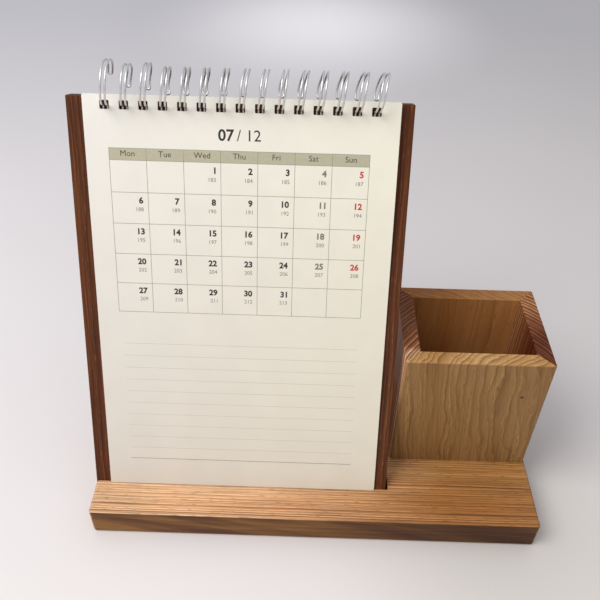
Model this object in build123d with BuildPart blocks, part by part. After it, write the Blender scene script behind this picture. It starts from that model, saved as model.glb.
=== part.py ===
from build123d import *
import math
import os

# Desk calendar stand: a slotted base board, a reclined back board, a twin-loop
# wire-bound calendar leaning on it and a mitred pen box. Origin at the centre of
# the base's underside, X to the right, Y to the back, Z up, millimetres.

# ---- base board
base_length = 231.0
base_depth = 98.0
base_height = 18.0
base_round = 1.6

# ---- slot and back board
recline = 21.0                # board's lean from the vertical, degrees
lip_from_front = 19.0         # slot's front lip behind the base's front edge
slot_depth = 9.0              # measured down the slope
slot_side_gap = 0.1           # clearance on each face of the board
slot_end_gap = 1.2            # open end of the slot beyond the board's right edge
board_thickness = 8.0
board_rise = 197.0            # from the base's top face up the slope
board_ease = 0.5

# ---- calendar leaves
leaf_count = 6
leaf_height = 198.0
leaf_thickness = 0.12
leaf_gap = 0.02
leaf_inset = 8.0              # leaf's left edge inside the board's left edge
leaf_right_inset = 6.2        # leaf's right edge inside the board's right edge
leaf_lean = 20.6              # leaves stand a little steeper than the board
leaf_foot_gap = 0.3           # rear leaf's foot in front of the board's face
leaf_corner = 0.8

# ---- punched holes and twin-loop wire
loop_pitch = 25.4 / 3.0       # three loops to the inch
hole_row_margin = 9.0         # least distance from an end hole's centre to the leaf's edge
hole_row_shift = 0.53         # the row of holes sits this much left of the leaf's middle
hole_drop = 4.4               # hole centre below the leaf's top edge
hole_width = 4.2
hole_height = 3.9
hole_corner = 0.5
wire_diameter = 0.9
leg_spacing = 1.93            # between the two wires of one loop
loop_radius = 8.1
loop_sweep = 291.0            # from the hole forward, over and back to the closed tip
root_gap = 0.3                # between the wire's roots and the rear leaf
root_bend = 1.2
root_drop = 0.9               # straight part behind the leaves
wire_tail = 2.4               # cut ends past the outermost legs

# ---- pen box
box_width = 72.9
box_depth = 56.5
box_height = 76.0
box_wall = 8.0
box_right_inset = 1.3         # from the base's right end
box_slot_gap = 2.6            # between the slot's closed end and the box
box_back_inset = 2.4          # from the base's back edge
box_corner_round = 1.2
box_rim_ease = 0.6

# ---- hidden dowels between the box walls and the base
dowel_diameter = 4.0
dowel_length = 24.0
dowel_hole_play = 0.05        # radial
dowel_end_play = 0.5
dowel_spread = 44.0           # between the two dowels of one wall

os.makedirs("parts", exist_ok=True)

# ---- sizes that follow from the base and the box
board_width = base_length - box_right_inset - box_width - box_slot_gap - slot_end_gap
leaf_width = board_width - leaf_inset - leaf_right_inset
loop_count = int((leaf_width - 2 * hole_row_margin) / loop_pitch) + 1
first_hole = (leaf_width - (loop_count - 1) * loop_pitch) / 2 - hole_row_shift

# ---- places shared by several pieces
base_left = -base_length / 2
lip_y = lip_from_front - base_depth / 2
slope = math.radians(recline)
# a plane in the board's front face: local X to the right, local Y up the slope,
# local Z out of the face
face_plane = Plane(
    origin=(base_left, lip_y + slot_side_gap * math.cos(slope), base_height - slot_side_gap * math.sin(slope)),
    x_dir=(1, 0, 0),
    z_dir=(0, -math.cos(slope), math.sin(slope)),
)
lean = math.radians(leaf_lean)
foot = face_plane.from_local_coords(Vector(leaf_inset, 0, leaf_foot_gap))
# a plane in the rear leaf's back face, its origin at the leaf's lower left corner
leaf_plane = Plane(origin=foot, x_dir=(1, 0, 0), z_dir=(0, -math.cos(lean), math.sin(lean)))
leaf_step = leaf_thickness + leaf_gap
stack_thickness = leaf_count * leaf_step - leaf_gap
hole_level = leaf_height - hole_drop
box_centre = (
    base_length / 2 - box_right_inset - box_width / 2,
    base_depth / 2 - box_back_inset - box_depth / 2,
)
dowel_row = box_depth / 2 - box_wall / 2
dowel_spots = {
    "front_left": (box_centre[0] - dowel_spread / 2, box_centre[1] - dowel_row),
    "front_right": (box_centre[0] + dowel_spread / 2, box_centre[1] - dowel_row),
    "back_left": (box_centre[0] - dowel_spread / 2, box_centre[1] + dowel_row),
    "back_right": (box_centre[0] + dowel_spread / 2, box_centre[1] + dowel_row),
}
dowel_hole_radius = dowel_diameter / 2 + dowel_hole_play
dowel_hole_depth = dowel_length / 2 + dowel_end_play

# ---- base: a plank rounded all round, the slanted slot open at its left end
slot_run = board_width + slot_end_gap
with BuildPart() as base:
    Box(base_length, base_depth, base_height, align=(Align.CENTER, Align.CENTER, Align.MIN))
    fillet(base.edges(), radius=base_round)
    # the slot's section, drawn looking along X and carried above the top face
    with BuildSketch(Plane(origin=face_plane.origin, x_dir=(0, 1, 0), z_dir=(1, 0, 0))):
        with Locations(Location((0, 0, 0), (0, 0, -recline))):
            with Locations((-slot_side_gap, -slot_depth)):
                Rectangle(
                    board_thickness + 2 * slot_side_gap,
                    slot_depth + board_thickness,
                    align=(Align.MIN, Align.MIN),
                )
    extrude(amount=slot_run, mode=Mode.SUBTRACT)
    with BuildSketch(Plane.XY.offset(base_height)):
        with Locations(*dowel_spots.values()):
            Circle(dowel_hole_radius)
    extrude(amount=-dowel_hole_depth, mode=Mode.SUBTRACT)
base.part.label = "base"
export_step(base.part, "parts/base.step")

# ---- back board: stands in the slot with a square-cut foot
with BuildPart() as back_board:
    with BuildSketch(face_plane):
        with Locations((0, -slot_depth)):
            Rectangle(board_width, slot_depth + board_rise, align=(Align.MIN, Align.MIN))
    extrude(amount=-board_thickness)
    fillet(back_board.edges(), radius=board_ease)
back_board.part.label = "back_board"
export_step(back_board.part, "parts/back_board.step")

# ---- calendar leaves, leaf 1 in front and the last one nearest the board
for number in range(1, leaf_count + 1):
    with BuildPart() as leaf:
        with BuildSketch(leaf_plane.offset((leaf_count - number) * leaf_step)):
            with Locations((leaf_width / 2, leaf_height / 2)):
                RectangleRounded(leaf_width, leaf_height, leaf_corner)
            with Locations(*[(first_hole + n * loop_pitch, hole_level) for n in range(loop_count)]):
                RectangleRounded(hole_width, hole_height, hole_corner, mode=Mode.SUBTRACT)
        extrude(amount=leaf_thickness)
    leaf.part.label = "leaf_" + str(number)
    export_step(leaf.part, "parts/leaf_" + str(number) + ".step")


# ---- twin-loop wire: one unbroken length, root, loop, root, loop along the spine
def at(x, up, out):
    """World point from the rear leaf's own plane: x right, up the leaf, out of its back face."""
    return leaf_plane.from_local_coords(Vector(x, up, out))


root_out = -(root_gap + wire_diameter / 2)
loop_out = stack_thickness / 2
knee = loop_out - root_out
loop_up = hole_level + loop_radius
knee_foot = hole_level - knee
root_level = knee_foot - root_drop - root_bend
half_leg = leg_spacing / 2
middle = math.sqrt(0.5)


def on_loop(x, degrees):
    """A point on the big loop, the angle measured from the hole going forward."""
    turn = math.radians(degrees)
    return at(x, loop_up - loop_radius * math.cos(turn), loop_out + loop_radius * math.sin(turn))


# the path as straight runs (two points) and arcs (start, middle, end)
runs = []
first_x = first_hole - half_leg
runs.append((at(first_x - root_bend - wire_tail, root_level, root_out), at(first_x - root_bend, root_level, root_out)))
loop_parts = [0.0, 90.0, 180.0, 270.0, loop_sweep]
for n in range(loop_count):
    left = first_hole + n * loop_pitch - half_leg
    right = left + leg_spacing
    corner_up = root_level + root_bend
    # up behind the leaves on the left leg, then forward through the hole
    runs.append((
        at(left - root_bend, root_level, root_out),
        at(left - root_bend * (1 - middle), corner_up - root_bend * middle, root_out),
        at(left, corner_up, root_out),
    ))
    runs.append((at(left, corner_up, root_out), at(left, knee_foot, root_out)))
    runs.append((
        at(left, knee_foot, root_out),
        at(left, knee_foot + knee * middle, root_out + knee * (1 - middle)),
        at(left, hole_level, loop_out),
    ))
    # round the loop to its closed tip and back on the right leg
    for start, stop in zip(loop_parts[:-1], loop_parts[1:]):
        runs.append((on_loop(left, start), on_loop(left, (start + stop) / 2), on_loop(left, stop)))
    tip = on_loop(left + half_leg, loop_sweep)
    ahead = (on_loop(left, loop_sweep + 0.5) - on_loop(left, loop_sweep - 0.5)).normalized()
    runs.append((on_loop(left, loop_sweep), tip + ahead * half_leg, on_loop(right, loop_sweep)))
    for start, stop in zip(loop_parts[:0:-1], loop_parts[-2::-1]):
        runs.append((on_loop(right, start), on_loop(right, (start + stop) / 2), on_loop(right, stop)))
    # back through the hole and down behind the leaves
    runs.append((
        at(right, hole_level, loop_out),
        at(right, knee_foot + knee * middle, root_out + knee * (1 - middle)),
        at(right, knee_foot, root_out),
    ))
    runs.append((at(right, knee_foot, root_out), at(right, corner_up, root_out)))
    runs.append((
        at(right, corner_up, root_out),
        at(right + root_bend * (1 - middle), corner_up - root_bend * middle, root_out),
        at(right + root_bend, root_level, root_out),
    ))
    # along the root to the next loop, or the cut end
    onward = wire_tail if n == loop_count - 1 else loop_pitch - leg_spacing - 2 * root_bend
    runs.append((
        at(right + root_bend, root_level, root_out),
        at(right + root_bend + onward, root_level, root_out),
    ))

with BuildPart() as binding_wire:
    with BuildLine() as wire_path:
        for run in runs:
            if len(run) == 2:
                Line(*run)
            else:
                ThreePointArc(*run)
    with BuildSketch(Plane(origin=runs[0][0], z_dir=(1, 0, 0))):
        Circle(wire_diameter / 2)
    sweep()
binding_wire.part.label = "binding_wire"
export_step(binding_wire.part, "parts/binding_wire.step")

# least gap of the wire to itself, on points along its path; points closer along
# the wire than half a loop's leg-to-leg turn belong to the same bend
samples = []
travelled = 0.0
for edge in wire_path.edges():
    steps = max(2, math.ceil(edge.length / 0.3))
    for k in range(steps):
        samples.append((travelled + edge.length * k / steps, edge.position_at(k / steps)))
    travelled += edge.length
samples.sort(key=lambda s: s[0])
same_bend = math.pi * half_leg + wire_diameter
least = min(
    (a[1] - b[1]).length
    for i, a in enumerate(samples)
    for b in samples[i + 1:i + 420]
    if b[0] - a[0] > same_bend
)
print("wire length", round(travelled, 1), "volume", round(binding_wire.part.volume, 1),
      "section x length", round(travelled * math.pi * wire_diameter ** 2 / 4, 1),
      "least gap to itself", round(least - wire_diameter, 2))

# ---- pen box: four walls mitred at the corners, standing on the base
half_w = box_width / 2
half_d = box_depth / 2
in_w = half_w - box_wall
in_d = half_d - box_wall
wall_plans = {
    "box_front_wall": [(-half_w, -half_d), (half_w, -half_d), (in_w, -in_d), (-in_w, -in_d)],
    "box_back_wall": [(half_w, half_d), (-half_w, half_d), (-in_w, in_d), (in_w, in_d)],
    "box_left_wall": [(-half_w, half_d), (-half_w, -half_d), (-in_w, -in_d), (-in_w, in_d)],
    "box_right_wall": [(half_w, -half_d), (half_w, half_d), (in_w, in_d), (in_w, -in_d)],
}
box_plane = Plane(origin=(box_centre[0], box_centre[1], base_height))
for wall_name, plan in wall_plans.items():
    with BuildPart() as wall:
        with BuildSketch(box_plane):
            RectangleRounded(box_width, box_depth, box_corner_round)
            Rectangle(2 * in_w, 2 * in_d, mode=Mode.SUBTRACT)
        extrude(amount=box_height)
        fillet(wall.edges().group_by(Axis.Z)[-1], radius=box_rim_ease)
        with BuildSketch(box_plane):
            Polygon(*plan, align=None)
        extrude(amount=box_height, mode=Mode.INTERSECT)
        with BuildSketch(Plane.XY.offset(base_height)):
            with Locations(*dowel_spots.values()):
                Circle(dowel_hole_radius)
        extrude(amount=dowel_hole_depth, mode=Mode.SUBTRACT)
    wall.part.label = wall_name
    export_step(wall.part, "parts/" + wall_name + ".step")

# ---- dowels, half in the base and half in a box wall
for spot_name, spot in dowel_spots.items():
    with BuildPart() as dowel:
        with BuildSketch(Plane.XY.offset(base_height - dowel_length / 2)):
            with Locations(spot):
                Circle(dowel_diameter / 2)
        extrude(amount=dowel_length)
    dowel.part.label = "dowel_" + spot_name
    export_step(dowel.part, "parts/dowel_" + spot_name + ".step")
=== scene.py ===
import math
import random

import bpy
import bmesh
from mathutils import Euler, Matrix, Vector


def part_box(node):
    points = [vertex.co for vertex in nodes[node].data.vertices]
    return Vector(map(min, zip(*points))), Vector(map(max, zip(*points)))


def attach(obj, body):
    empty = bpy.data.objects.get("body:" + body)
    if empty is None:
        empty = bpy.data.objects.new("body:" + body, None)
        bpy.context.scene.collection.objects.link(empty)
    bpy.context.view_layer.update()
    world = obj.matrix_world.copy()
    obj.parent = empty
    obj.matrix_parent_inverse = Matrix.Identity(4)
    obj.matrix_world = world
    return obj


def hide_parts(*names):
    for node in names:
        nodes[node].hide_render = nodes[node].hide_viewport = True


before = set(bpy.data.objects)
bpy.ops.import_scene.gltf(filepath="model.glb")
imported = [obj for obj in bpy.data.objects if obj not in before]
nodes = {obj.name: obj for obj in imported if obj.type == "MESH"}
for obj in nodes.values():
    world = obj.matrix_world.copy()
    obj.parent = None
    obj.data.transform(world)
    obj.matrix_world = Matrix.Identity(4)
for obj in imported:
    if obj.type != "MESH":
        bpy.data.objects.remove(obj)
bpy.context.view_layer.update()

# ---------------------------------------------------------------- base plank
# The foot of the stand: one planed ash plank with its grain along the length, edges
# rounded by a router, slot sawn on a slant for the back board. Rubbed with oil.


def linear(hex_colour):
    """An sRGB hex colour as the linear RGBA that a shader socket takes."""
    parts = [int(hex_colour[i:i + 2], 16) / 255 for i in (1, 3, 5)]
    return [c / 12.92 if c <= 0.04045 else ((c + 0.055) / 1.055) ** 2.4 for c in parts] + [1.0]


def put(tree, kind, links=None, **settings):
    """Adds one node: its settings, then values, sockets or nodes for its inputs by name or
    number. A node stands for the first of its outputs that is in use."""
    node = tree.nodes.new(kind)
    for key, value in settings.items():
        setattr(node, key, value)
    for key, value in (links or {}).items():
        if isinstance(value, bpy.types.Node):
            value = next(socket for socket in value.outputs if socket.enabled)
        if isinstance(value, bpy.types.NodeSocket):
            tree.links.new(value, node.inputs[key])
        else:
            node.inputs[key].default_value = value
    return node


def new_material(name):
    """A material and its node tree, still empty."""
    material = bpy.data.materials.new(name)
    material.use_nodes = True
    material.node_tree.nodes.clear()
    return material, material.node_tree


def end_in_shader(tree, inputs):
    """Ends a material's tree with a Principled shader that takes these inputs."""
    shader = put(tree, "ShaderNodeBsdfPrincipled", inputs)
    put(tree, "ShaderNodeOutputMaterial", {"Surface": shader})


def dress(node_name, material):
    """Shows a CAD piece in a material."""
    node = nodes[node_name]
    node.data.materials.clear()
    node.data.materials.append(material)


def oiled_wood(name, turn, pith, ring, wander, early, late, pale, warm, pore, ripple=0.0,
               uneven=0.5, end_tone=0.72, edge=None, streak=0.5, gloss=0.5, shift=0.0, wave=70,
               bold=None, painted_shade_drift=None, knot=None):
    """Oiled solid wood cut from a log.

    turn brings the grain onto the log's own X and pith is the part's place in the log in mm.
    ring is a year's growth, wander how far the rings stray over lengths of about wave mm, and
    ripple the same over short lengths, all in mm. early, late and pale colour the ground, the
    dark line and the light line of a year, warm tints the warmer heartwood and pore the pores.
    uneven makes some years faint, streak strengthens streaks and fibres, end_tone darkens or
    lightens end grain, gloss is the roughness and shift moves all patterns to another piece of
    wood. edge is a dark and a light tint for smoky figure on the faces at the plank's long
    sides, which also lays painted shade on these faces, bold (axis, from, to) a stretch in metres
    up to which all years gain full strength, drift (axis, from, to, tint) one over which the tint
    sets in, as painted shade, knot a pin knot's place.
    """
    material, tree = new_material(name)
    where = put(tree, "ShaderNodeTexCoord").outputs["Object"]
    # millimetres in the log's frame
    log = put(tree, "ShaderNodeMapping", {
        "Vector": where, "Rotation": turn, "Scale": (1000, 1000, 1000), "Location": pith})

    def noise_over(sizes, detail, seed, **more):
        """Noise in the log's frame, its features sizes mm big."""
        scaled = put(tree, "ShaderNodeVectorMath", {0: log, 1: [1 / size for size in sizes]},
                     operation="MULTIPLY")
        return put(tree, "ShaderNodeTexNoise", {
            "Vector": scaled, "Scale": 1.0, "Detail": detail, "W": shift + seed, **more,
        }, noise_dimensions="4D")

    normal = put(tree, "ShaderNodeNewGeometry").outputs["Normal"]
    to_log = Euler(turn).to_matrix().inverted()

    def facing(direction, low, high):
        """1 on faces that look along a direction of the log, 0 on the others."""
        along = put(tree, "ShaderNodeVectorMath", {0: normal, 1: to_log @ Vector(direction)},
                    operation="DOT_PRODUCT")
        along = put(tree, "ShaderNodeMath", {0: along}, operation="ABSOLUTE")
        return put(tree, "ShaderNodeMapRange", {"Value": along, 1: low, 2: high})

    ends = facing((1, 0, 0), 0.6, 0.95)

    # growth rings about the pith, bent by slow waves and a ripple
    across = put(tree, "ShaderNodeVectorMath", {0: log, 1: (0, 1, 1)}, operation="MULTIPLY")
    radius = put(tree, "ShaderNodeVectorMath", {0: across}, operation="LENGTH")
    waves = noise_over((wave, 16, 16), 3.0, 0.0, Roughness=0.45)
    bent = put(tree, "ShaderNodeMath", {0: waves, 1: wander, 2: radius},
               operation="MULTIPLY_ADD")
    if ripple:
        ripples = noise_over((11, 5, 5), 2.0, 5.0)
        bent = put(tree, "ShaderNodeMath", {0: ripples, 1: ripple, 2: bent},
                   operation="MULTIPLY_ADD")
    # good and poor years come in spells of 2.7, and move a ring by up to 1.6 of its width
    spells = put(tree, "ShaderNodeMath", {0: bent, 1: ring * 2.7}, operation="DIVIDE")
    spells = put(tree, "ShaderNodeTexNoise", {"W": spells, "Scale": 1.0, "Detail": 1.0},
                 noise_dimensions="1D")
    even = put(tree, "ShaderNodeMath", {0: bent, 1: ring}, operation="DIVIDE")
    count = put(tree, "ShaderNodeMath", {0: spells, 1: 1.6, 2: even}, operation="MULTIPLY_ADD")
    year = put(tree, "ShaderNodeMath", {0: count}, operation="FRACT")
    growth = put(tree, "ShaderNodeValToRGB", {"Fac": year})
    ground, dark = linear(early), linear(late)
    half_dark = [a * 0.7 + b * 0.3 for a, b in zip(ground, dark)]
    for element in growth.color_ramp.elements:
        element.color = ground
    for place, colour in ((0.08, linear(pale)), (0.26, ground), (0.62, half_dark), (0.87, dark)):
        growth.color_ramp.elements.new(place).color = colour

    # each year is drawn more or less strongly, and fades in and out along the grain
    own = put(tree, "ShaderNodeMath", {0: count}, operation="FLOOR")
    own = put(tree, "ShaderNodeTexWhiteNoise", {"W": own}, noise_dimensions="1D")
    own = put(tree, "ShaderNodeMapRange", {"Value": own, 3: 1 - uneven, 4: 1.0})
    fading = put(tree, "ShaderNodeMapRange", {
        "Value": noise_over((45, 7, 7), 2.0, 7.0), 1: 0.36, 2: 0.6, 3: 1 - 0.8 * uneven, 4: 1.0})
    strength = put(tree, "ShaderNodeMath", {0: own, 1: fading}, operation="MULTIPLY")
    # end grain shows every year
    strength = put(tree, "ShaderNodeMath", {0: strength, 1: ends}, operation="MAXIMUM")
    if bold:
        axis, start, stop = bold
        place = put(tree, "ShaderNodeSeparateXYZ", {0: where}).outputs[axis]
        stretch = put(tree, "ShaderNodeMapRange", {"Value": place, 1: start, 2: stop})
        strength = put(tree, "ShaderNodeMath", {0: strength, 1: stretch}, operation="MAXIMUM")
    wood = put(tree, "ShaderNodeMix", {0: strength, 6: ground, 7: growth}, data_type="RGBA")

    # broad warm and cool stretches of heartwood, some 25 mm across and 180 mm long
    patch = put(tree, "ShaderNodeMapRange", {
        "Value": noise_over((180, 25, 25), 2.0, 3.0), 1: 0.35, 2: 0.68})
    wood = put(tree, "ShaderNodeMix", {0: patch, 6: wood, 7: linear(warm)}, data_type="RGBA",
               blend_type="MULTIPLY")
    # soft streaks some 3 mm wide
    streaks = put(tree, "ShaderNodeMapRange", {
        "Value": noise_over((50, 3, 3), 2.0, 9.0), 1: 0.35, 2: 0.65,
        3: 1 - 0.1 * streak, 4: 1 + 0.08 * streak})
    wood = put(tree, "ShaderNodeVectorMath", {0: wood, "Scale": streaks}, operation="SCALE")
    # fibres 0.5 mm wide, drawn a little coarser than real ones so that they show
    fibre = noise_over((34, 0.5, 0.5), 3.0, 0.0, Roughness=0.6)
    fibre_tone = put(tree, "ShaderNodeMapRange", {
        "Value": fibre, 1: 0.3, 2: 0.7, 3: 1 - 0.28 * streak, 4: 1 + 0.22 * streak})
    wood = put(tree, "ShaderNodeVectorMath", {0: wood, "Scale": fibre_tone}, operation="SCALE")
    # open pores, short dark dashes that lie in the first wood of each year
    dashes = put(tree, "ShaderNodeMapRange", {
        "Value": noise_over((5, 0.45, 0.45), 1.0, 0.0), 1: 0.56, 2: 0.66})
    first_wood = put(tree, "ShaderNodeMapRange", {"Value": year, 1: 0.15, 2: 0.5, 3: 1.0, 4: 0.0})
    pores = put(tree, "ShaderNodeMath", {0: dashes, 1: first_wood}, operation="MULTIPLY")
    cover = put(tree, "ShaderNodeMath", {0: pores, 1: 0.65}, operation="MULTIPLY")
    wood = put(tree, "ShaderNodeMix", {0: cover, 6: wood, 7: linear(pore)}, data_type="RGBA")
    # end grain drinks more oil and goes darker or lighter
    end_shade = put(tree, "ShaderNodeMapRange", {"Value": ends, 3: 1.0, 4: end_tone})
    wood = put(tree, "ShaderNodeVectorMath", {0: wood, "Scale": end_shade}, operation="SCALE")

    if edge:
        # smoky wedges some 9 mm high and 85 mm long that slope down to the right
        slope = put(tree, "ShaderNodeVectorMath", {0: log, 1: (0.25, 0, 1)},
                    operation="DOT_PRODUCT")
        slope = put(tree, "ShaderNodeMath", {0: slope, 1: 9.0}, operation="DIVIDE")
        length = put(tree, "ShaderNodeSeparateXYZ", {0: log}).outputs["X"]
        length = put(tree, "ShaderNodeMath", {0: length, 1: 85.0}, operation="DIVIDE")
        wedge = put(tree, "ShaderNodeCombineXYZ", {"X": slope, "Z": length})
        smoke_and_painted_shade = put(tree, "ShaderNodeTexNoise", {
            "Vector": wedge, "Scale": 1.0, "Detail": 2.0, "Roughness": 0.4, "Distortion": 0.4,
            "W": shift,
        }, noise_dimensions="4D")
        smoke_and_painted_shade = put(tree, "ShaderNodeMapRange", {"Value": smoke_and_painted_shade, 1: 0.4, 2: 0.6})
        smoke_and_painted_shade = put(tree, "ShaderNodeMix", {0: smoke_and_painted_shade, 6: linear(edge[0]), 7: linear(edge[1])},
                    data_type="RGBA")
        # the years lie flat on these faces and show half as much
        flank = facing((0, 1, 0), 0.85, 0.98)
        quiet = put(tree, "ShaderNodeMath", {0: flank, 1: 0.55}, operation="MULTIPLY")
        wood = put(tree, "ShaderNodeMix", {0: quiet, 6: wood, 7: ground}, data_type="RGBA")
        # painted shade: the dark smoky tints darken these faces as a whole below the top's tone,
        # while the rounded edges are left out and keep the top's tone
        wood = put(tree, "ShaderNodeMix", {0: flank, 6: wood, 7: smoke_and_painted_shade}, data_type="RGBA",
                   blend_type="MULTIPLY")
    # painted shade: a tint that sets in over a stretch of the part
    if painted_shade_drift:
        axis, start, stop, tint = painted_shade_drift
        place = put(tree, "ShaderNodeSeparateXYZ", {0: where}).outputs[axis]
        reach = put(tree, "ShaderNodeMapRange", {"Value": place, 1: start, 2: stop})
        wood = put(tree, "ShaderNodeMix", {0: reach, 6: wood, 7: linear(tint)},
                   data_type="RGBA", blend_type="MULTIPLY")
    if knot:
        # a dark dot of 0.5 mm radius with a soft rim
        away = put(tree, "ShaderNodeVectorMath", {0: where, 1: knot}, operation="DISTANCE")
        away = put(tree, "ShaderNodeMapRange", {
            "Value": away, 1: 0.0005, 2: 0.0011, 3: 0.22, 4: 1.0})
        wood = put(tree, "ShaderNodeVectorMath", {0: wood, "Scale": away}, operation="SCALE")

    # the pores are sunk, the fibres stand up and shine a little more
    relief = put(tree, "ShaderNodeMath", {0: pores, 1: -0.8, 2: fibre},
                 operation="MULTIPLY_ADD")
    end_in_shader(tree, {
        "Base Color": wood,
        "Specular IOR Level": 0.2,
        "Roughness": put(tree, "ShaderNodeMapRange", {
            "Value": fibre, 1: 0.3, 2: 0.7, 3: gloss + 0.12, 4: gloss - 0.04}),
        "Normal": put(tree, "ShaderNodeBump", {
            "Height": relief, "Strength": 0.35, "Distance": 0.00012}),
    })
    return material


# ash, quarter-sawn on top: straight close stripes, strongest along the front of the top;
# broad smoky figure on the front edge, whose dark tints also lay painted shade on that face
base_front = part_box("base")[0].y
dress("base", oiled_wood(
    "oiled_ash_plank", turn=(0, 0, 0), pith=(40, 190, 14), ring=1.45, wander=4.0, wave=190,
    early="#deb288", late="#7c4a2a", pale="#fadcb4", warm="#f2ddcb", pore="#7a4c2a", uneven=0.45,
    edge=("#7c6044", "#a8945e"), streak=1.3, gloss=0.4,
    # the plank darkens towards its right end: partly its own colour, partly painted shade in front
    # of the box
    bold=(1, base_front + 0.0065, base_front + 0.0025), painted_shade_drift=(0, -0.028, 0.069, "#c2b18c"),
))

# ------------------------------------------------------------------ pen box
# Four ash boards mitred at the corners and glued, grain standing up, so the rim shows end
# grain with its growth rings cut across. Front board paler than the other three.
upright = (0, math.pi / 2, 0)
# ash, flat-sawn: wide rippled years, and a pin knot at the upper right, placed from the box's
# right side, front and rim
wall_low, wall_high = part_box("box_front_wall")
right_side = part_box("box_right_wall")[1].x
dress("box_front_wall", oiled_wood(
    "oiled_ash_box_front", turn=(0, math.pi / 2 + 0.1, 0), pith=(10, 75, 152), ring=3.0,
    wander=10.0, wave=45, ripple=2.0, early="#aa8355", late="#7c5a32", pale="#b9935f",
    warm="#e0d4be", pore="#74532e", uneven=0.6, streak=0.8, end_tone=1.25, shift=4.0,
    knot=(right_side - 0.0122, wall_low.y, wall_high.z - 0.0226),
))
# ash with strong narrow years, which the rim cuts into close slanting stripes
dress("box_left_wall", oiled_wood(
    "oiled_ash_box_left", turn=upright, pith=(60, 52, 120), ring=2.2, wander=3.5,
    early="#c89266", late="#76492e", pale="#fff0c8", warm="#dcbca0", pore="#6a4026", uneven=0.25,
    # painted shade: the wall is darker behind a straight line across it, near the middle of its
    # length
    end_tone=0.68, shift=8.0, painted_shade_drift=(1, -0.002, 0.001, "#c8a890"),
))
# the same ash, redder, and darker towards the front as painted shade
dress("box_right_wall", oiled_wood(
    "oiled_ash_box_right", turn=upright, pith=(35, 60, 30), ring=2.2, wander=3.5,
    early="#a06a42", late="#562e1a", pale="#f0c092", warm="#dcb898", pore="#6a4026", uneven=0.25,
    end_tone=0.95, shift=12.0, painted_shade_drift=(1, 0.036, 0.010, "#a08070"),
))
# plain ash with faint wide years
dress("box_back_wall", oiled_wood(
    "oiled_ash_box_back", turn=upright, pith=(90, 70, 10), ring=2.8, wander=7.0,
    early="#c08850", late="#a06a3a", pale="#c8925a", warm="#e8ceae", pore="#8a5e34", uneven=0.8,
    end_tone=0.66, shift=16.0,
))
# turned beech rod, fine and even, hidden between the walls and the base
beech = oiled_wood(
    "plain_beech_dowel", turn=upright, pith=(0, 20, 40), ring=1.5, wander=1.0,
    early="#d9b88c", late="#c49c6c", pale="#e2c49a", warm="#efe4d4", pore="#b08a5c", end_tone=0.9,
)
for corner in ("front_left", "front_right", "back_left", "back_right"):
    dress("dowel_" + corner, beech)

# --------------------------------------------------------------- back board
# The dark board that the calendar leans on: a walnut-like plank with its grain up the slope,
# oiled, standing loose in the base's slot. Its pores are paler than the wood around them.
recline = math.radians(21.0)
dress("back_board", oiled_wood(
    "oiled_dark_board", turn=(recline, math.pi / 2, 0), pith=(20, 60, 120), ring=2.6, wander=6.0,
    ripple=1.2, early="#6c3e22", late="#3a1c0d", pale="#804d2e", warm="#e0cdbc", pore="#84603f",
    # painted shade: a little darker along the strip at the board's left edge
    uneven=0.7, streak=1.9, gloss=0.56, painted_shade_drift=(0, -0.100, -0.109, "#e8dfd8"),
))

# ----------------------------------------------------------- calendar leaves
# Uncoated cream paper, cut square, punched along the top for the wire. Each leaf carries a
# month grid and ruled lines, offset printed in plain generic numbers.
leaf_lean = math.radians(20.6)
leaf_height_mm = 198.0
leaf_sheet_mm = 0.12
leaf_gap_mm = 0.02
leaf_total = 6


def leaf_place(number):
    """The matrix from a leaf's own frame (x right, y up, z out of the printed face)."""
    low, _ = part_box("leaf_%d" % number)
    up = Vector((0, math.sin(leaf_lean), math.cos(leaf_lean)))
    out = Vector((0, -math.cos(leaf_lean), math.sin(leaf_lean)))
    corner = Vector((low.x, low.y, low.z + leaf_sheet_mm / 1000 * math.sin(leaf_lean)))
    place = Matrix((Vector((1, 0, 0)), up, out)).transposed().to_4x4()
    place.translation = corner
    return place


# paper: faint clouds some 17 mm wide, painted light that makes it a little lighter and yellower
# to the right, painted shade that makes it duller at the foot, and a tooth of 0.3 mm
paper, tree = new_material("uncoated_cream_paper")
where = put(tree, "ShaderNodeTexCoord").outputs["Object"]
place = put(tree, "ShaderNodeSeparateXYZ", {0: where}).outputs
painted_light_to_right = put(tree, "ShaderNodeMapRange", {"Value": place["X"], 1: -0.108, 2: 0.032})
tone = put(tree, "ShaderNodeMix", {0: painted_light_to_right, 6: linear("#f1eee5"), 7: linear("#f8f4e2")},
           data_type="RGBA")
painted_shade_to_foot = put(tree, "ShaderNodeMapRange", {"Value": place["Z"], 1: 0.2, 2: 0.02})
tone = put(tree, "ShaderNodeMix", {0: painted_shade_to_foot, 6: tone, 7: linear("#ede8e4")},
           data_type="RGBA", blend_type="MULTIPLY")
clouds = put(tree, "ShaderNodeTexNoise", {"Vector": where, "Scale": 60.0, "Detail": 4.0})
clouds = put(tree, "ShaderNodeMapRange", {"Value": clouds, 1: 0.3, 2: 0.7, 3: 0.975, 4: 1.015})
tone = put(tree, "ShaderNodeVectorMath", {0: tone, "Scale": clouds}, operation="SCALE")
tooth = put(tree, "ShaderNodeTexNoise", {"Vector": where, "Scale": 3000.0, "Detail": 2.0})
end_in_shader(tree, {
    "Base Color": tone,
    "Roughness": put(tree, "ShaderNodeMapRange", {"Value": tooth, 3: 0.62, 4: 0.8}),
    "Normal": put(tree, "ShaderNodeBump", {
        "Height": tooth, "Strength": 0.2, "Distance": 0.00002}),
})
for number in range(1, leaf_total + 1):
    dress("leaf_%d" % number, paper)


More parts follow.
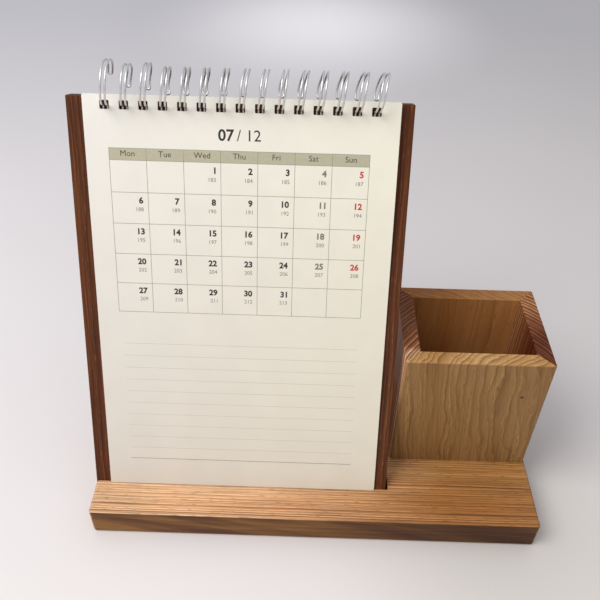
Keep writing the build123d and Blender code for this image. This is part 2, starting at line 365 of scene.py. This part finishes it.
def printing_ink(name, colour):
    """Offset ink: matt, laid on a little unevenly over spots some 1 mm wide."""
    ink, tree = new_material(name)
    where = put(tree, "ShaderNodeTexCoord").outputs["Object"]
    spots = put(tree, "ShaderNodeTexNoise", {"Vector": where, "Scale": 900.0, "Detail": 2.0})
    cover = put(tree, "ShaderNodeMapRange", {"Value": spots, 1: 0.3, 2: 0.7, 3: 0.96, 4: 1.04})
    end_in_shader(tree, {
        "Base Color": put(tree, "ShaderNodeVectorMath", {0: linear(colour)[:3], "Scale": cover},
                          operation="SCALE"),
        "Roughness": put(tree, "ShaderNodeMapRange", {"Value": spots, 3: 0.55, 4: 0.7}),
    })
    return ink


inks = [
    printing_ink("olive_band_ink", "#bcb79d"),
    printing_ink("grey_green_line_ink", "#8f957c"),
    printing_ink("black_ink", "#2c2b28"),
    printing_ink("grey_ink", "#7c7b74"),
    printing_ink("red_ink", "#c63f38"),
    printing_ink("faint_rule_ink", "#c9c4b4"),
]
olive, line_ink, black, grey, red, faint = range(len(inks))


def new_geometry_tree(name, inputs):
    """A Geometry Nodes tree with named inputs, and the identifier of each input."""
    tree = bpy.data.node_groups.new(name, "GeometryNodeTree")
    keys = {}
    for label, kind in inputs.items():
        socket = tree.interface.new_socket(name=label, in_out="INPUT", socket_type=kind)
        keys[label] = socket.identifier
    tree.interface.new_socket(name="Geometry", in_out="OUTPUT", socket_type="NodeSocketGeometry")
    return tree, keys


def evaluated_mesh(holder):
    """The plain mesh that a text or a modifier makes; the object that held it is removed."""
    bpy.context.scene.collection.objects.link(holder)
    graph = bpy.context.evaluated_depsgraph_get()
    mesh = bpy.data.meshes.new_from_object(holder.evaluated_get(graph))
    bpy.data.objects.remove(holder)
    return mesh


# Geometry Nodes tree: a row of equal printed bars, for grid lines and writing lines
bars, bar_inputs = new_geometry_tree("printed_bars", {
    "Count": "NodeSocketInt", "First": "NodeSocketVector", "Step": "NodeSocketVector",
    "Bar size": "NodeSocketVector", "Ink": "NodeSocketMaterial"})
given = put(bars, "NodeGroupInput").outputs
row = put(bars, "GeometryNodeMeshLine", {
    "Count": given["Count"], "Start Location": given["First"], "Offset": given["Step"],
}, mode="OFFSET")
bar = put(bars, "GeometryNodeMeshCube", {"Size": given["Bar size"]})
copies = put(bars, "GeometryNodeInstanceOnPoints", {"Points": row, "Instance": bar})
solid = put(bars, "GeometryNodeRealizeInstances", {0: copies})
inked = put(bars, "GeometryNodeSetMaterial", {"Geometry": solid, "Material": given["Ink"]})
put(bars, "NodeGroupOutput", {0: inked})

# ink films in metres: thickness, middle of the first one above the paper, and the step to one
# printed over it; all stay in the gap to the next leaf. Texts go on last, over two others
film_depth = 0.000014
film_middle = 0.000003
film_step = 0.0000025
text_films = 2


def add_mesh(shape, mesh, ink, shift=Matrix.Identity(4)):
    """Adds a mesh to a leaf's print, all of it in one ink."""
    faces_before = len(shape.faces)
    verts_before = len(shape.verts)
    shape.from_mesh(mesh)
    shape.verts.ensure_lookup_table()
    shape.faces.ensure_lookup_table()
    for vert in shape.verts[verts_before:]:
        vert.co = shift @ vert.co
    for face in shape.faces[faces_before:]:
        face.material_index = ink


def set_bars(shape, count, first, step, size, ink, films=0):
    """Adds a row of bars to a leaf's print: the middle of the first one in mm from the leaf's
    upper left corner, x right and y down, the step to the next, over so many other films."""
    holder = bpy.data.objects.new("bars", bpy.data.meshes.new("bars"))
    printer = holder.modifiers.new("bars", "NODES")
    printer.node_group = bars
    printer[bar_inputs["Count"]] = count
    printer[bar_inputs["First"]] = (first[0] / 1000, (leaf_height_mm - first[1]) / 1000,
                                    film_middle + films * film_step)
    printer[bar_inputs["Step"]] = (step[0] / 1000, -step[1] / 1000, 0)
    printer[bar_inputs["Bar size"]] = (size[0] / 1000, size[1] / 1000, film_depth)
    printer[bar_inputs["Ink"]] = inks[ink]
    add_mesh(shape, evaluated_mesh(holder), ink)


glyphs = {}


def glyph_mesh(text, size_mm, weight):
    """A short printed text as a thin closed mesh, its origin at the left of its baseline."""
    key = (text, size_mm, weight)
    if key not in glyphs:
        # drawn in millimetres, so that close points can be welded, and then scaled to metres
        curve = bpy.data.curves.new("text", "FONT")
        curve.body = text
        curve.size = size_mm
        curve.offset = weight
        curve.extrude = film_depth * 1000 / 2
        curve.resolution_u = 3
        mesh = evaluated_mesh(bpy.data.objects.new("text", curve))
        shape = bmesh.new()
        shape.from_mesh(mesh)
        bmesh.ops.remove_doubles(shape, verts=shape.verts, dist=1e-4)
        bmesh.ops.scale(shape, vec=(0.001, 0.001, 0.001), verts=shape.verts)
        shape.to_mesh(mesh)
        shape.free()
        glyphs[key] = mesh
    return glyphs[key]


def set_text(shape, text, x, y, size_mm, ink, weight=0.0, align=0.0):
    """Adds a text to a leaf's print, its baseline y mm below the leaf's top edge; align 0 sets
    its left edge at x, 0.5 its middle and 1 its right edge."""
    mesh = glyph_mesh(text, size_mm, weight)
    left = min(v.co.x for v in mesh.vertices)
    right = max(v.co.x for v in mesh.vertices)
    add_mesh(shape, mesh, ink, Matrix.Translation((
        x / 1000 - left - (right - left) * align,
        (leaf_height_mm - y) / 1000,
        film_middle + text_films * film_step)))


# the page's layout in mm, x from the leaf's left edge and y down from its top edge
grid_left, grid_right, columns = 10.35, 126.3, 7
band_top, grid_top, grid_bottom = 22.9, 28.2, 100.6
grid_middle, grid_width = (grid_left + grid_right) / 2, grid_right - grid_left
column = grid_width / columns
grid_line = 0.22
rule_left, rule_right = 11.5, 125.8
rule_middle, rule_width = (rule_left + rule_right) / 2, rule_right - rule_left
first_rule, rule_pitch, rule_total, rule_line = 117.3, 6.52, 11, 0.2
foot_rule, foot_rule_line = 182.5, 0.26
# where texts stand and how tall they are; the last two hang below the top of a day's cell
title_right, total_left, title_base, title_size = 66.2, 67.3, 18.4, 7.0
weekday_base, weekday_size = 26.4, 3.7
number_inset = 2.3
day_drop, day_size = 4.9, 3.9
count_drop, count_size = 8.6, 2.6
# how far a bold stroke grows to each side
title_bold, day_bold = 0.16, 0.15

weekdays = ("Mon", "Tue", "Wed", "Thu", "Fri", "Sat", "Sun")
saturday, sunday = 5, 6
month_days = (31, 31, 30, 31, 30, 31)
first_month = 7
first_weekday = 2
days_before = 182
for number in range(1, leaf_total + 1):
    days = month_days[number - 1]
    rows = math.ceil((first_weekday + days) / columns)
    row_height = (grid_bottom - grid_top) / rows
    printed = bmesh.new()
    # header band, grid lines and the band's upper line, then the writing lines below
    for count, first, step, size, ink, films in (
        (1, (grid_middle, (band_top + grid_top) / 2), (0, 0),
         (grid_width, grid_top - band_top), olive, 0),
        (columns + 1, (grid_left, (band_top + grid_bottom) / 2), (column, 0),
         (grid_line, grid_bottom - band_top), line_ink, 1),
        (rows + 1, (grid_middle, grid_top), (0, row_height),
         (grid_width + grid_line, grid_line), line_ink, 1),
        (1, (grid_middle, band_top), (0, 0), (grid_width + grid_line, grid_line), line_ink, 1),
        (rule_total, (rule_middle, first_rule), (0, rule_pitch), (rule_width, rule_line),
         faint, 0),
        (1, (rule_middle, foot_rule), (0, 0), (rule_width, foot_rule_line), line_ink, 0),
    ):
        set_bars(printed, count, first, step, size, ink, films)
    # the month's number, of twelve, at the head of the page
    set_text(printed, "%02d" % (first_month + number - 1), title_right, title_base, title_size,
             black, weight=title_bold, align=1.0)
    set_text(printed, " / 12", total_left, title_base, title_size, black)
    for place, weekday in enumerate(weekdays):
        set_text(printed, weekday, grid_left + (place + 0.5) * column, weekday_base,
                 weekday_size, black, align=0.5)
    # each day's number with the day of the year below it
    for day in range(1, days + 1):
        down, across = divmod(first_weekday + day - 1, columns)
        ink = {sunday: red, saturday: grey}.get(across, black)
        right_edge = grid_left + (across + 1) * column - number_inset
        cell_top = grid_top + down * row_height
        set_text(printed, str(day), right_edge, cell_top + day_drop, day_size, ink,
                 weight=day_bold, align=1.0)
        set_text(printed, str(days_before + day), right_edge, cell_top + count_drop, count_size,
                 grey, align=1.0)
    first_weekday = (first_weekday + days) % columns
    days_before += days
    mesh = bpy.data.meshes.new("leaf_%d_print" % number)
    printed.to_mesh(mesh)
    printed.free()
    for ink in inks:
        mesh.materials.append(ink)
    mesh.transform(leaf_place(number))
    piece = bpy.data.objects.new("leaf_%d_print" % number, mesh)
    bpy.context.scene.collection.objects.link(piece)
    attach(piece, "leaf_%d" % number)

# ------------------------------------------------------------- binding wire
# Bright steel twin-loop wire, 0.9 mm, one length bent into closed fingers that pass
# through the holes, over the top and end in blunt tips just above the board.
wire_radius = 0.45
pitch = 25.4 / 3
loop_total = 15
first_hole = 9.6
hole_drop = 4.4
hole_level = leaf_height_mm - hole_drop
half_leg = 1.93 / 2
wire_shift = 0.25  # the binding hangs to the right in its holes
stack = leaf_total * (leaf_sheet_mm + leaf_gap_mm) - leaf_gap_mm
root_gap = 0.3
root_out = -(root_gap + wire_radius)
loop_out = stack / 2
knee = loop_out - root_out
root_bend = 1.2
root_drop = 0.9
knee_foot = hole_level - knee
root_level = knee_foot - root_drop - root_bend
wire_tail = 2.4
rear_leaf = leaf_place(leaf_total)
# radius and end of each loop: the first three of this used binding are bent out of shape
loop_radii = [9.3, 8.5, 8.8] + [8.1] * (loop_total - 3)
loop_ends = [248.0, 276.0, 284.0] + [291.0] * (loop_total - 3)
loop_steps, tip_steps = 40, 8
path = []


def wire_point(x, up, out):
    """Keeps a point of the wire's path, in mm in the rear leaf's frame from its back face."""
    path.append(rear_leaf @ Vector((x / 1000, up / 1000, (out - leaf_sheet_mm) / 1000)))


def bend_about(x, up, out, start, stop, radius, plane, steps=6):
    """A bend of the wire: plane "x" lies along the row of loops, "out" stands across it."""
    for k in range(1, steps + 1):
        turn = math.radians(start + (stop - start) * k / steps)
        side, rise = radius * math.cos(turn), radius * math.sin(turn)
        if plane == "x":
            wire_point(x + side, up + rise, out)
        else:
            wire_point(x, up + rise, out + side)


def sway_at(stations, turn):
    """A loop's sideways lean at a turn, on a smooth curve through its stations. The first and
    the last two stations only steer the curve between the others."""
    k = max(i for i in range(1, len(stations) - 2) if stations[i][0] <= turn)
    (t0, a), (t1, b), (t2, c), (t3, d) = stations[k - 1:k + 3]
    span = t2 - t1
    part = (turn - t1) / span
    slope_in, slope_out = (c - a) / (t2 - t0) * span, (d - b) / (t3 - t1) * span
    return (b * (1 + 2 * part) * (1 - part) ** 2 + slope_in * part * (1 - part) ** 2
            + c * part ** 2 * (3 - 2 * part) + slope_out * part ** 2 * (part - 1))


def loop_point(loop, offset, turn, beyond=0.0):
    """On a loop, given as its middle, radius and stations: turn in degrees from the hole,
    offset in mm along the row of loops, beyond in mm past the turn along the tangent."""
    middle, radius, stations = loop
    t = math.radians(turn)
    wire_point(middle + offset + sway_at(stations, turn),
               hole_level + radius - radius * math.cos(t) + beyond * math.sin(t),
               loop_out + radius * math.sin(t) + beyond * math.cos(t))


random.seed(20)
last = loop_total - 1
wire_start = first_hole + wire_shift - half_leg - root_bend
wire_point(wire_start - wire_tail, root_level, root_out)
wire_point(wire_start, root_level, root_out)
for n in range(loop_total):
    # the loops of a used binding lean to the right in front and vary a little; the lean
    # lessens in front and grows at the top from the first loop to the last
    middle = first_hole + wire_shift + n * pitch
    end = loop_ends[n] - random.uniform(0, 3)
    lean = 2.5 + 0.4 * n / last + random.uniform(-0.3, 0.3)
    lean_front = 2.1 - 0.8 * n / last + random.uniform(-0.15, 0.15)
    lean_tip = 0.9 - 0.9 * n / last
    # sideways lean in mm at turns along the loop: over the front, then back in line behind,
    # where a turned leaf ends its way
    stations = [(-90, -0.4), (0, 0.0), (90, lean_front), (180, lean), (225, 1.8), (270, 0.15),
                (292, lean_tip), (360, 1.5)]
    loop = (middle, loop_radii[n], stations)
    corner_up = root_level + root_bend
    bend_about(middle - half_leg - root_bend, corner_up, root_out, -90, 0, root_bend, "x")
    wire_point(middle - half_leg, knee_foot, root_out)
    bend_about(middle - half_leg, knee_foot, loop_out, 180, 90, knee, "out")
    for k in range(1, loop_steps + 1):
        loop_point(loop, -half_leg, end * k / loop_steps)
    for k in range(1, tip_steps + 1):
        t = math.pi * k / tip_steps
        loop_point(loop, -half_leg * math.cos(t), end, half_leg * math.sin(t))
    for k in range(1, loop_steps + 1):
        loop_point(loop, half_leg, end * (1 - k / loop_steps))
    bend_about(middle + half_leg, knee_foot, loop_out, 90, 180, knee, "out")
    wire_point(middle + half_leg, corner_up, root_out)
    bend_about(middle + half_leg + root_bend, corner_up, root_out, 180, 270, root_bend, "x")
    if n < last:
        wire_point(middle + pitch - half_leg - root_bend, root_level, root_out)
wire_point(middle + half_leg + root_bend + wire_tail, root_level, root_out)

# bright zinc-coated steel wire: clean metal, dulled in patches some 1 mm long
steel, tree = new_material("bright_steel_wire")
where = put(tree, "ShaderNodeTexCoord").outputs["Object"]
dull = put(tree, "ShaderNodeTexNoise", {"Vector": where, "Scale": 900.0, "Detail": 3.0})
end_in_shader(tree, {
    "Base Color": put(tree, "ShaderNodeMix", {
        0: dull, 6: linear("#bcbdc0"), 7: linear("#ececea")}, data_type="RGBA"),
    "Metallic": 1.0,
    "Roughness": put(tree, "ShaderNodeMapRange", {"Value": dull, 3: 0.3, 4: 0.52}),
    "Normal": put(tree, "ShaderNodeBump", {
        "Height": dull, "Strength": 0.15, "Distance": 0.00003}),
})

# Geometry Nodes tree: a round wire drawn along a path of points
drawing, wire_inputs = new_geometry_tree("drawn_wire", {
    "Path": "NodeSocketGeometry", "Radius": "NodeSocketFloat", "Sides": "NodeSocketInt",
    "Metal": "NodeSocketMaterial"})
given = put(drawing, "NodeGroupInput").outputs
line = put(drawing, "GeometryNodeMeshToCurve", {0: given["Path"]})
section = put(drawing, "GeometryNodeCurvePrimitiveCircle", {
    "Resolution": given["Sides"], "Radius": given["Radius"]})
tube = put(drawing, "GeometryNodeCurveToMesh", {
    "Curve": line, "Profile Curve": section, "Fill Caps": True})
smooth = put(drawing, "GeometryNodeSetShadeSmooth", {0: tube})
whole = put(drawing, "GeometryNodeRealizeInstances", {0: smooth})
plated = put(drawing, "GeometryNodeSetMaterial", {"Geometry": whole, "Material": given["Metal"]})
put(drawing, "NodeGroupOutput", {0: plated})

path_mesh = bpy.data.meshes.new("wire_path")
path_mesh.from_pydata([tuple(p) for p in path], [(i, i + 1) for i in range(len(path) - 1)], [])
holder = bpy.data.objects.new("wire_path", path_mesh)
draw = holder.modifiers.new("draw", "NODES")
draw.node_group = drawing
draw[wire_inputs["Radius"]] = wire_radius / 1000
draw[wire_inputs["Sides"]] = 12
draw[wire_inputs["Metal"]] = steel
wire = bpy.data.objects.new("twin_loop_wire", evaluated_mesh(holder))
bpy.context.scene.collection.objects.link(wire)
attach(wire, "binding")
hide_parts("binding_wire")

# -------------------------------------------------------- table, light, camera
# A pale painted table top that fills the view, one large soft light up to the left and a
# pale room around, seen from in front and above as a person at the desk sees it.
table_top, tree = new_material("pale_table_top")
where = put(tree, "ShaderNodeTexCoord").outputs["Object"]
place = put(tree, "ShaderNodeSeparateXYZ", {0: where}).outputs
# painted board, matt; greyer to the back and a little duller to the right, both painted shade as
# the light falls off
painted_shade_to_back = put(tree, "ShaderNodeMapRange", {"Value": place["Y"], 1: -0.1, 2: 0.7})
tone = put(tree, "ShaderNodeMix", {0: painted_shade_to_back, 6: linear("#ded9d9"), 7: linear("#c1c0c5")},
           data_type="RGBA")
painted_light_to_right = put(tree, "ShaderNodeMapRange", {"Value": place["X"], 1: -0.3, 2: 0.3})
tone = put(tree, "ShaderNodeMix", {0: painted_light_to_right, 6: tone, 7: linear("#f2f1ee")},
           data_type="RGBA", blend_type="MULTIPLY")
# a painted pool of light far back, and painted shadow beside the stand's front corner
for spot, spot_radius, colour in (((0, 0.7, 0), 0.25, "#f0edf1"),
                                  ((0.1, -0.04, 0), 0.11, "#c6c2bc")):
    near = put(tree, "ShaderNodeVectorMath", {0: where, 1: spot}, operation="DISTANCE")
    near = put(tree, "ShaderNodeMapRange", {"Value": near, 1: 0.0, 2: spot_radius, 3: 1.0, 4: 0.0},
               interpolation_type="SMOOTHSTEP")
    tone = put(tree, "ShaderNodeMix", {0: near, 6: tone, 7: linear(colour)}, data_type="RGBA")
# faint clouds some 330 mm wide
clouds = put(tree, "ShaderNodeTexNoise", {"Vector": where, "Scale": 3.0, "Detail": 3.0})
clouds = put(tree, "ShaderNodeMapRange", {"Value": clouds, 1: 0.3, 2: 0.7, 3: 0.98, 4: 1.02})
tone = put(tree, "ShaderNodeVectorMath", {0: tone, "Scale": clouds}, operation="SCALE")
end_in_shader(tree, {"Base Color": tone, "Roughness": 0.6})

half_side = 3.0
floor_mesh = bpy.data.meshes.new("table")
floor_mesh.from_pydata([(x * half_side, y * half_side, 0)
                        for x, y in ((-1, -1), (1, -1), (1, 1), (-1, 1))], [], [(0, 1, 2, 3)])
floor_mesh.materials.append(table_top)
floor = bpy.data.objects.new("table", floor_mesh)
bpy.context.scene.collection.objects.link(floor)

lamp = bpy.data.lights.new("soft_window", "AREA")
lamp.shape, lamp.size, lamp.energy = "DISK", 0.9, 13.0
lamp.color = (1.0, 0.985, 0.96)
window = bpy.data.objects.new("soft_window", lamp)
window.location = (-0.7, -0.35, 1.15)
lit_point = Vector((0, 0, 0.08))
window.rotation_euler = (lit_point - window.location).to_track_quat("-Z", "Y").to_euler()
bpy.context.scene.collection.objects.link(window)

world = bpy.data.worlds.new("pale_room")
world.use_nodes = True
# brightest overhead, dim towards the level of the desk
sky = world.node_tree
height = put(sky, "ShaderNodeTexCoord").outputs["Generated"]
height = put(sky, "ShaderNodeSeparateXYZ", {0: height}).outputs["Z"]
height = put(sky, "ShaderNodeMath", {0: height, 1: 0.0}, operation="MAXIMUM")
height = put(sky, "ShaderNodeMath", {0: height, 1: 2.0}, operation="POWER")
glow = put(sky, "ShaderNodeMapRange", {"Value": height, 3: 0.16, 4: 1.3})
# seen directly and in the metal, the room is an even pale grey
seen = put(sky, "ShaderNodeLightPath").outputs
direct = put(sky, "ShaderNodeMath", {0: seen["Is Camera Ray"], 1: seen["Is Glossy Ray"]},
             operation="MAXIMUM")
direct = put(sky, "ShaderNodeMath", {0: direct, 1: seen["Is Transmission Ray"]},
             operation="MAXIMUM")
glow = put(sky, "ShaderNodeMix", {0: direct, 2: glow, 3: 0.7}, data_type="FLOAT")
background = sky.nodes["Background"]
background.inputs["Color"].default_value = linear("#f4f4f8")
sky.links.new(glow.outputs[0], background.inputs["Strength"])
bpy.context.scene.world = world
bpy.context.scene.view_settings.view_transform = "Standard"

# the camera's lens, stance and turn are those of the photo, fitted to the object's edges
camera_data = bpy.data.cameras.new("camera")
camera_data.sensor_width = 36.0
camera_data.lens = 42.70
camera = bpy.data.objects.new("camera", camera_data)
yaw, pitch_down, roll = math.radians(0.511), math.radians(40.978), math.radians(1.421)
ahead = Vector((-math.sin(yaw) * math.cos(pitch_down), math.cos(yaw) * math.cos(pitch_down),
                -math.sin(pitch_down)))
level = Vector((math.cos(yaw), math.sin(yaw), 0))
above = level.cross(ahead)
right = level * math.cos(roll) + above * math.sin(roll)
up = above * math.cos(roll) - level * math.sin(roll)
stance = Matrix((right, up, -ahead)).transposed().to_4x4()
stance.translation = (-0.00814, -0.24951, 0.33966)
camera.matrix_world = stance
bpy.context.scene.collection.objects.link(camera)
bpy.context.scene.camera = camera
